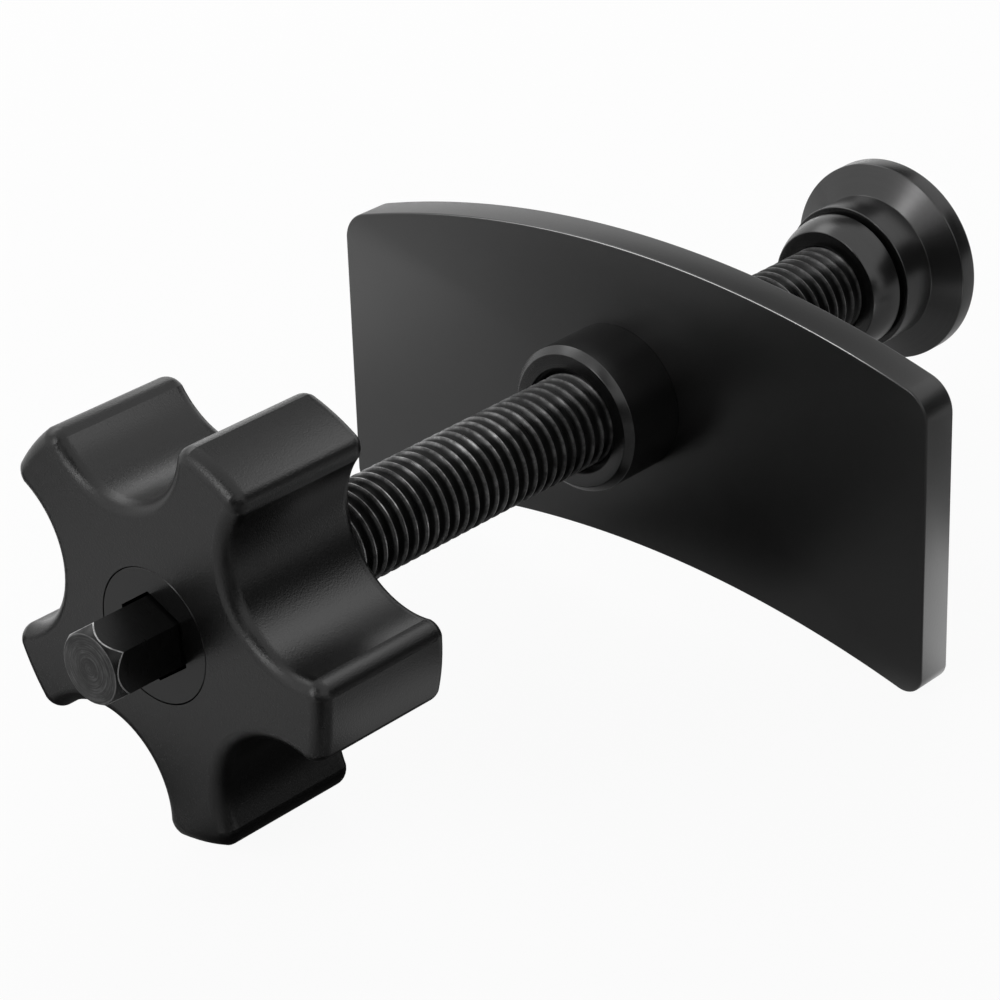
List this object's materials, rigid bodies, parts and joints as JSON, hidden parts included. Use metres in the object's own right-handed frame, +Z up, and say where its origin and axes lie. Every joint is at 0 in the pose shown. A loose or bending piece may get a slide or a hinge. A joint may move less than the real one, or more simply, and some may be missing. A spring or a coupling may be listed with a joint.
{
  "type": "brake caliper piston tool",
  "caption": "Hand tool that presses a disc brake piston back: a lobed knob turns a screw through a boss in a curved plate and drives a swivelling round pad.",
  "frame": {"origin": "on the screw's axis, in the reaction plate's face towards the knob, which bears on the caliper", "axes": "+Y along the screw from the knob to the pressure pad, +Z up across the plate's height, +X along the plate's width"},
  "size_m": [0.1076, 0.1677, 0.0591],
  "materials": {
    "plate_black": "satin black coated steel plate",
    "boss_black": "glossy black turned steel",
    "weld_black": "black coated weld bead",
    "screw_oxide": "black oxide on cut steel threads, bright along the crests",
    "knob_plastic": "matte moulded black with a fine grain",
    "hub_oxide": "matte black oxide",
    "turned_black": "semi-gloss black oxide over fine turning marks",
    "washer_dark": "dark oiled steel",
    "fastener_oxide": "black oxide"
  },
  "bodies": {
    "plate": {"reaction_plate": "plate_black", "threaded_boss": "boss_black", "boss_weld": "weld_black"},
    "thrust": {"thrust_washer": "washer_dark"},
    "screw": {"lead_screw": "screw_oxide", "hand_knob": "knob_plastic", "knob_hub": "hub_oxide", "knob_grub_screw": "fastener_oxide", "thrust_collar": "turned_black", "collar_pin": "fastener_oxide", "pad_circlip": "fastener_oxide"},
    "pad": {"pressure_pad": "turned_black"}
  },
  "joints": [
    {"name": "screw_travel", "type": "slide", "parent": "plate", "child": "thrust", "axis": [0, 1, 0], "range_m": [-0.0401, 0.0571]},
    {"name": "screw_turn", "type": "hinge", "parent": "thrust", "child": "screw", "pos_m": [0, 0, 0], "axis": [0, 1, 0], "range_deg": [-7200, 10260]},
    {"name": "pad_swivel", "type": "hinge", "parent": "thrust", "child": "pad", "pos_m": [0, 0.06, 0], "axis": [0, 1, 0], "continuous": true}
  ],
  "couplings": [
    {"joint": "screw_travel", "follows": "screw_turn", "m_per_rad": 0.00031831}
  ]
}
